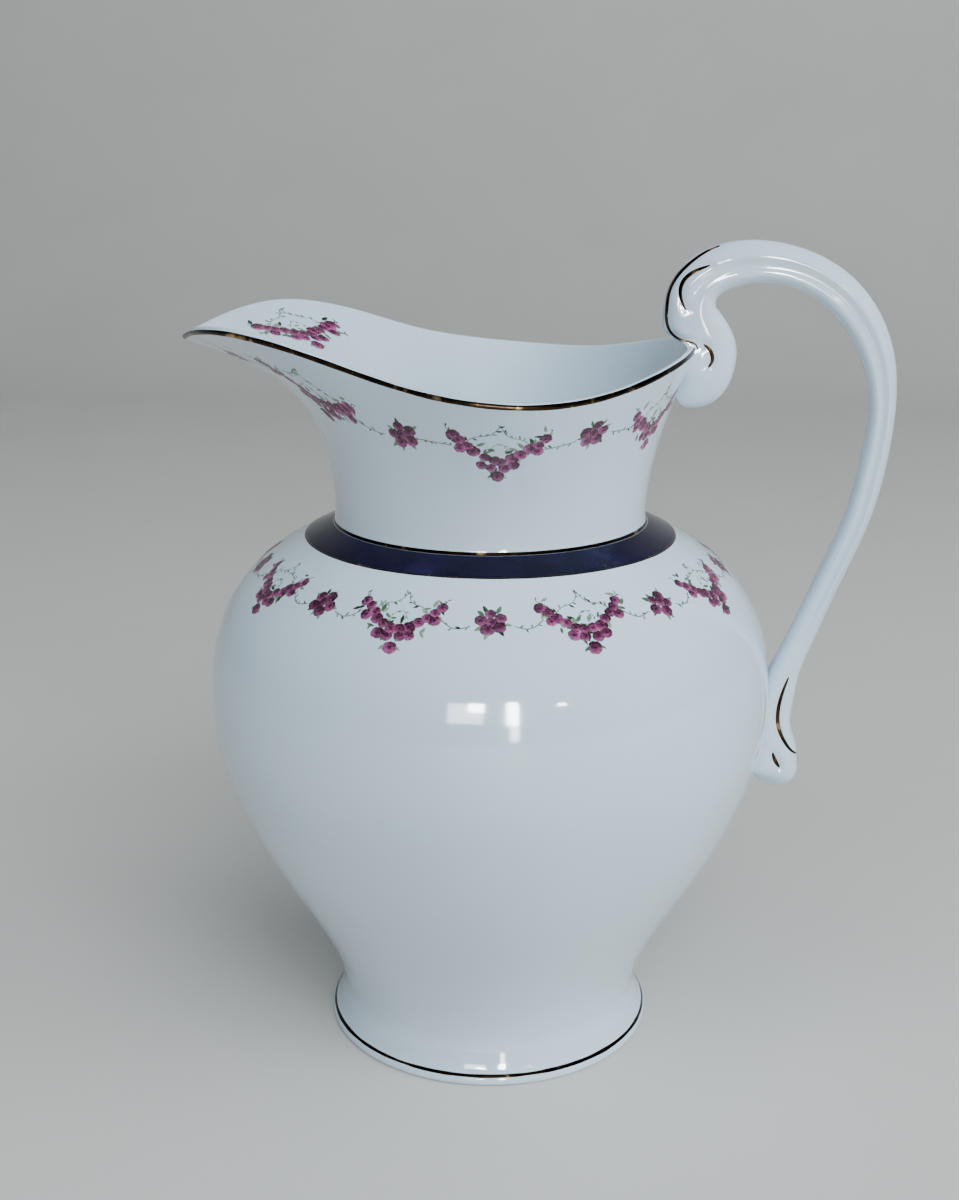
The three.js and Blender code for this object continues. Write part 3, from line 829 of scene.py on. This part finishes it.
class Print:
    """Collects the flat shapes of one transfer in local millimetres, x to the right and y up."""

    def __init__(self, seed, tint=1.0):
        self.rng = np.random.default_rng(seed)
        self.tint = tint
        self.points, self.lifts, self.colours, self.faces = [], [], [], []

    def dome(self, outline, centre, lift, edge_colour, middle_colour):
        """A low closed dome over an outline."""
        thick = PRINT_THICKNESS
        outline, centre = np.asarray(outline), np.asarray(centre)
        count = len(outline)
        first = len(self.points)
        inner = centre + (outline - centre) * 0.6
        self.points += [*outline, *inner, centre, centre]
        self.lifts += [lift - thick] * count + [lift + thick * 2 / 3] * count
        self.lifts += [lift + thick, lift - thick]
        mid = (np.asarray(edge_colour) + np.asarray(middle_colour)) / 2
        self.colours += [edge_colour] * count + [mid] * count + [middle_colour, middle_colour]
        for j in range(count):
            k = (j + 1) % count
            self.faces.append((first + j, first + k, first + count + k, first + count + j))
            self.faces.append((first + count + j, first + count + k, first + 2 * count))
            self.faces.append((first + k, first + j, first + 2 * count + 1))

    def rose(self, x, y, radius):
        """Rings of petals laid over each other from the outside in, lit from one side, and a heart."""
        petal_wide, petal_tall, heart_size = 1.12, 0.82, 0.15
        rng = self.rng
        start = rng.uniform(0, 6.3)
        shade = rng.uniform(0.6, 2.6)
        fade = rng.uniform(-0.34, 0.18)
        squash = rng.uniform(0.85, 1.0)
        for tier, (petals, out, size, pale, deep) in enumerate(PETAL_TIERS):
            start += 0.6
            for i in range(petals):
                turn = start + i * 2 * math.pi / petals + rng.normal(0, 0.12)
                reach = radius * out * np.array([math.cos(turn), math.sin(turn) * squash])
                middle = np.array([x, y]) + reach
                around = np.linspace(0, 2 * math.pi, 10)[:-1]
                wide, tall = radius * size * petal_wide, radius * size * petal_tall
                local = np.stack([np.cos(around) * tall, np.sin(around) * wide], -1)
                spin = np.array([[math.cos(turn), math.sin(turn)], [-math.sin(turn), math.cos(turn)]])
                outline = middle + local @ spin * rng.uniform(0.88, 1.1)
                lit = 0.5 - 0.5 * math.cos(turn - shade)
                mix = np.clip(lit * 0.85 + rng.uniform(-0.25, 0.25) + fade, 0, 1)
                colour = (pale * mix + deep * (1 - mix)) * self.tint
                rim = np.clip(colour * 1.2 + 0.03, 0, 1)
                self.dome(outline, middle, PRINT_LIFT + 0.02 * tier + 0.002 * i, rim, colour * 0.7)
        around = np.linspace(0, 2 * math.pi, 7)[:-1]
        heart = np.array([x, y]) + heart_size * radius * np.stack([np.cos(around), np.sin(around)], -1)
        self.dome(heart, (x, y), PRINT_LIFT + 0.09, ROSE_CORE, ROSE_CORE * 0.5)

    def leaf(self, x, y, angle, length):
        """A pointed leaf growing from a point at an angle."""
        rng = self.rng
        tone = LEAF_TONES[rng.integers(len(LEAF_TONES))]
        width = length * rng.uniform(0.32, 0.46)
        run = np.array([0.0, 0.2, 0.5, 0.8, 1.0, 0.8, 0.5, 0.2])
        side = np.array([0.0, 0.72, 1.0, 0.55, 0.0, -0.55, -1.0, -0.72])
        local = np.stack([run * length, side * width / 2], -1)
        spin = np.array([[math.cos(angle), math.sin(angle)], [-math.sin(angle), math.cos(angle)]])
        outline = np.array([x, y]) + local @ spin
        middle = np.array([x, y]) + np.array([length * 0.5, 0]) @ spin
        shade = rng.uniform(0.8, 1.15)
        self.dome(outline, middle, PRINT_LIFT - 0.006, np.clip(tone * shade, 0, 1), tone * shade * 0.7)

    def stem(self, points, width=0.3, leaves=0, leaf_length=2.0):
        """A thin line through points with leaves along it, leaning to either side."""
        line = Spline(points)
        count = max(6, int(line.length / 1.2))
        travel = np.linspace(0, 1, count)
        middle, along = line.point(travel), line.along(travel)
        normal = np.stack([-along[:, 1], along[:, 0]], -1)
        first = len(self.points)
        for side in (1, -1):
            self.points += list(middle + side * normal * width / 2)
            self.lifts += [PRINT_LIFT - 0.012] * count
            self.colours += [STEM_TONE] * count
        self.points += list(middle)
        self.lifts += [PRINT_LIFT - 0.04] * count
        self.colours += [STEM_TONE] * count
        for j in range(count - 1):
            a, b, c = first + j, first + count + j, first + 2 * count + j
            self.faces += [(b, b + 1, a + 1, a), (a, a + 1, c + 1, c), (c, c + 1, b + 1, b)]
        for j, order in ((0, 1), (count - 1, -1)):
            corner = (first + j, first + count + j, first + 2 * count + j)
            self.faces.append(corner if order > 0 else corner[::-1])
        for i in range(leaves):
            at = (i + self.rng.uniform(0.3, 0.8)) / leaves
            point, way = line.point(at), line.along(at)
            lean = math.atan2(way[1], way[0]) + self.rng.choice([-1, 1]) * self.rng.uniform(0.5, 1.1)
            self.leaf(point[0], point[1], lean, leaf_length * self.rng.uniform(0.6, 1.1))

    def swag(self, half, reach, link_rise, deep=11.0):
        """A drooping row of roses with one hanging below, tendrils above and stems to each side."""
        rng = self.rng

        def droop(x):
            return deep * (abs(x) / half)**1.5 - 3.4

        for way in (-1, 1):
            end = way * (half - 1)
            link = [
                (way * (half + reach), link_rise),
                (way * (half + reach * 0.5), link_rise - 1.2),
                (end, droop(end) - 4.5),
            ]
            self.stem(link, width=0.36, leaves=5, leaf_length=2.2)
            near, far = way * half * 0.2, way * half * 0.66
            tendril = [(far, 3.5), (way * half * 0.46, 6.4), (near, 7.6), (0.6, 12.4)]
            self.stem(tendril, leaves=7, leaf_length=2.4)
            tip = (way * (half + 0.6), droop(end) + 3.6)
            self.stem([(end, droop(end)), tip], leaves=3, leaf_length=1.8)
        self.stem([(-half * 0.2, 1), (0.4, 4.4), (half * 0.22, 1)], width=0.22, leaves=4, leaf_length=1.9)
        for _ in range(34):
            x = rng.uniform(-half, half)
            self.leaf(x, droop(x) + rng.uniform(-4.2, 4.6), rng.uniform(0, 6.3), rng.uniform(2.6, 4.4))
        row = Spline([(x, droop(x)) for x in np.linspace(-half + 1, half - 1, 25)])
        for place in row.point(np.linspace(0, 1, 12)):
            x, y = place + rng.normal(0, 0.3, 2)
            self.rose(x, y, rng.uniform(2.0, 2.6))
        for x in (-half + 3.4, half - 3.0):
            self.rose(x, droop(x) - 3.2, rng.uniform(2.0, 2.4))
        for x in (-5.4, -2.2, 2.2, 5.2):
            self.rose(x, abs(x) * 0.35 - 6.8 + rng.normal(0, 0.3), rng.uniform(1.9, 2.4))
        self.leaf(-1.6, -9, -2.4, 2.8)
        self.leaf(1.6, -9, -0.7, 2.6)
        self.rose(0, -9.8, 2.5)

    def posy(self, size):
        """A small round bunch."""
        rng = self.rng
        for i in range(7):
            turn = i * 2 * math.pi / 7 + rng.normal(0, 0.2)
            reach = size * 0.55
            self.leaf(math.cos(turn) * reach, math.sin(turn) * reach, turn, rng.uniform(3.0, 4.4))
        start = rng.uniform(0, 6.3)
        for i in range(5):
            turn = start + i * 2 * math.pi / 5
            reach = size * rng.uniform(0.52, 0.66)
            self.rose(math.cos(turn) * reach, math.sin(turn) * reach * 0.9, rng.uniform(2.0, 2.6))
        self.rose(rng.normal(0, 0.3), rng.normal(0, 0.3), 2.2)

    def lay(self, name, place, node):
        """Lays the print on a surface: place(x, y, lift) maps local millimetres to the jug."""
        flat = np.array(self.points)
        points = place(flat[:, 0], flat[:, 1], np.array(self.lifts))
        colours = np.array(self.colours)
        return new_piece(name, points, self.faces, ENAMEL, [node], colours)


SHOULDER_DOWN = 32.0


def on_shoulder(angle, up):
    """Where a motif's own millimetres lie on the shoulder, at an angle and raised from the row."""
    radius = BELLY.point(1 - SHOULDER_DOWN / BELLY.length)[0]

    def place(x, y, lift):
        share = 1 - (SHOULDER_DOWN - up - y) / BELLY.length
        return turned_to(angle + x / radius, BELLY.offset(share, lift))
    return place


def garland_drop(angle):
    """How far below the rim the collar's garland runs: it dips before the lip, then climbs with it."""
    turn = np.abs((np.asarray(angle) + math.pi) % (2 * math.pi) - math.pi)
    dip = 6.6 * smoothstep(turn, math.radians(92), math.radians(122))
    climb = 2.8 * smoothstep(turn, math.radians(115), math.radians(135))
    return 13.5 + dip - climb


def on_neck(angle, down, side=1):
    """Where a motif's own millimetres lie on the collar's outer (1) or inner (-1) face."""
    radius = 68.0

    def place(x, y, lift):
        turn = angle + x * side / radius
        t = NECK.t_at_drop(turn, garland_drop(turn) + down - y)
        return turned_to(turn, NECK.flat(turn, t, side, lift)[0])
    return place


def garland(row, repeats, first, spread, kinds):
    """The angle and node of every motif of a row, as the CAD model places them."""
    half = math.pi / repeats
    for i in range(2 * repeats):
        turn = i * half
        angle = math.radians(first) + turn + math.radians(spread) * math.sin(turn)
        node = f"{row}_{kinds[i % 2]}_{i // 2 + 1}"
        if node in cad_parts:
            yield i, angle, kinds[i % 2], node


def shoulder_garland():
    for i, angle, kind, node in garland("shoulder", 9, -85.5, 3.4, ("posy", "swag")):
        motif = Print(seed=100 + i, tint=0.55 if kind == "posy" else 0.78)
        if kind == "posy":
            motif.posy(6.0)
        else:
            motif.swag(half=15.4, reach=9, link_rise=-0.2)
        motif.lay(f"print_{node}", on_shoulder(angle, 1.6 if kind == "posy" else 0), node)


def neck_garland():
    for i, angle, kind, node in garland("neck", 6, -84, -6, ("swag", "posy")):
        motif = Print(seed=200 + i, tint=0.72 if kind == "posy" else 0.92)
        if kind == "posy":
            motif.posy(6.0)
        else:
            motif.swag(half=15.6, reach=10, link_rise=4.2)
        motif.lay(f"print_{node}", on_neck(angle, 5.5 if kind == "swag" else 0), node)


def lip_garland():
    """One swag inside the lip on each side, upright to someone looking in."""
    for side, name in ((1, "left"), (-1, "right")):
        motif = Print(seed=300 + side, tint=0.85)
        motif.swag(half=14.5, reach=1.5, link_rise=3, deep=9.5)
        angle = side * math.radians(154)
        motif.lay(f"print_lip_swag_{name}", on_neck(angle, 0.7, side=-1), f"lip_swag_{name}")


# ------------------------------------------------------------------ assembly
foot_piece()
belly_piece()
neck_piece()
handle_surface = surface_of(handle_piece())
cobalt_band()
rim_gilding()
collar_gilding()
BAND_LINE_SHARE = BAND_START - JOINT / BELLY.length
BAND_LINE_WIDTH = 0.9
FOOT_LINE_SHARE = 0.09
gold_ring("band_gold_line", BELLY, BAND_LINE_SHARE, BAND_LINE_WIDTH, "band_gilding", seed=21)
gold_ring("foot_gold_line", FOOT_SWEEP, FOOT_LINE_SHARE, GILT_WIDTH, "foot_gilding", seed=22)
for stroke in STROKES:
    brush_stroke(handle_surface, stroke, 1, f"left_{stroke}")
    brush_stroke(handle_surface, stroke, -1, f"right_{stroke}")
shoulder_garland()
neck_garland()
lip_garland()


# --------------------------------------------------------------------- stage
def stage_material(name, colour, roughness):
    material, tree, shader = node_material(name)
    grain = noise(tree, 6.0, detail=6.0)
    low = tuple(c * 0.96 for c in colour)
    tone = ramp(tree, grain.outputs["Fac"], [(0.3, low), (0.7, colour)])
    tree.links.new(tone, shader.inputs["Base Color"])
    shader.inputs["Roughness"].default_value = roughness
    return material


def floor_and_sweep():
    """A pale floor that curves up into a backdrop behind the jug."""
    half_width, front, back, bend, top = 4.0, -3.5, 1.5, 0.8, 3.0
    angles = np.linspace(-math.pi / 2, 0, 24)
    curve = [(back + bend * math.cos(a), bend + bend * math.sin(a)) for a in angles]
    line = [(front, 0.0), *curve, (back + bend, top)]
    points = [(x, y, z) for y, z in line for x in (-half_width, half_width)]
    faces = [(2 * i, 2 * i + 1, 2 * i + 3, 2 * i + 2) for i in range(len(line) - 1)]
    mesh = bpy.data.meshes.new("studio_floor")
    mesh.from_pydata(points, [], faces)
    mesh.polygons.foreach_set("use_smooth", [True] * len(faces))
    mesh.materials.append(stage_material("studio_floor", (0.62, 0.60, 0.57), 0.6))
    floor = bpy.data.objects.new("studio_floor", mesh)
    bpy.context.scene.collection.objects.link(floor)


def area_light(name, location, size, power, colour, mirrored):
    """A rectangular light turned to the jug: one that lights the glaze, or one only mirrored in it."""
    data = bpy.data.lights.new(name, "AREA")
    data.shape = "RECTANGLE"
    data.size, data.size_y = size
    data.energy = power
    data.color = colour
    light = bpy.data.objects.new(name, data)
    light.location = location
    to_jug = Vector((0, 0, 0.15)) - Vector(location)
    light.rotation_euler = to_jug.to_track_quat("-Z", "Y").to_euler()
    light.visible_glossy = mirrored
    light.visible_diffuse = not mirrored
    bpy.context.scene.collection.objects.link(light)


def lights():
    cool = (0.88, 0.955, 1.0)
    area_light("overhead_softbox", (0.5, -0.6, 2.0), (2.0, 2.0), 20, cool, False)
    area_light("left_softbox", (-1.2, -1.4, 2.1), (1.4, 1.4), 17, cool, False)
    area_light("front_softbox", (0.9, -2.0, 2.0), (1.6, 1.6), 62, cool, False)
    area_light("right_softbox", (2.2, -0.6, 0.9), (1.4, 1.4), 36, cool, False)
    clear = (0.97, 0.98, 1.0)
    area_light("window_left", (-0.26, -2.6, 0.82), (0.64, 0.60), 26, (0.95, 0.93, 1.0), True)
    area_light("window_corner", (-0.08, -2.58, 1.0), (0.27, 0.27), 24, clear, True)
    area_light("window_tall", (0.61, -2.6, 0.60), (0.15, 1.12), 20, clear, True)
    area_light("window_bright", (0.57, -2.58, 0.82), (0.21, 0.70), 44, clear, True)
    area_light("window_dot", (1.64, -2.6, 1.14), (0.18, 0.10), 5, clear, True)
    world = bpy.data.worlds.new("studio")
    world.use_nodes = True
    background = world.node_tree.nodes["Background"]
    background.inputs["Color"].default_value = (0.62, 0.72, 0.82, 1)
    background.inputs["Strength"].default_value = 0.13
    bpy.context.scene.world = world


# -------------------------------------------------------------------- camera
def camera():
    """Stands in front of the jug, a little above its rim, and looks down at it."""
    turn, pitch, roll = math.radians(4.0), math.radians(16.10), math.radians(0.08)
    away, height = 0.5785, 0.3355
    aim = turn + math.radians(0.395)
    data = bpy.data.cameras.new("camera")
    data.lens, data.sensor_width = 48.0, 36.0
    eye = bpy.data.objects.new("camera", data)
    eye.location = (AXIS_X * MM + away * math.sin(turn), -away * math.cos(turn), height)
    forward = Vector((-math.sin(aim) * math.cos(pitch), math.cos(aim) * math.cos(pitch), -math.sin(pitch)))
    eye.rotation_mode = "QUATERNION"
    look = forward.to_track_quat("-Z", "Y")
    eye.rotation_quaternion = look @ Matrix.Rotation(roll, 4, "Z").to_quaternion()
    bpy.context.scene.collection.objects.link(eye)
    bpy.context.scene.camera = eye


floor_and_sweep()
lights()
camera()
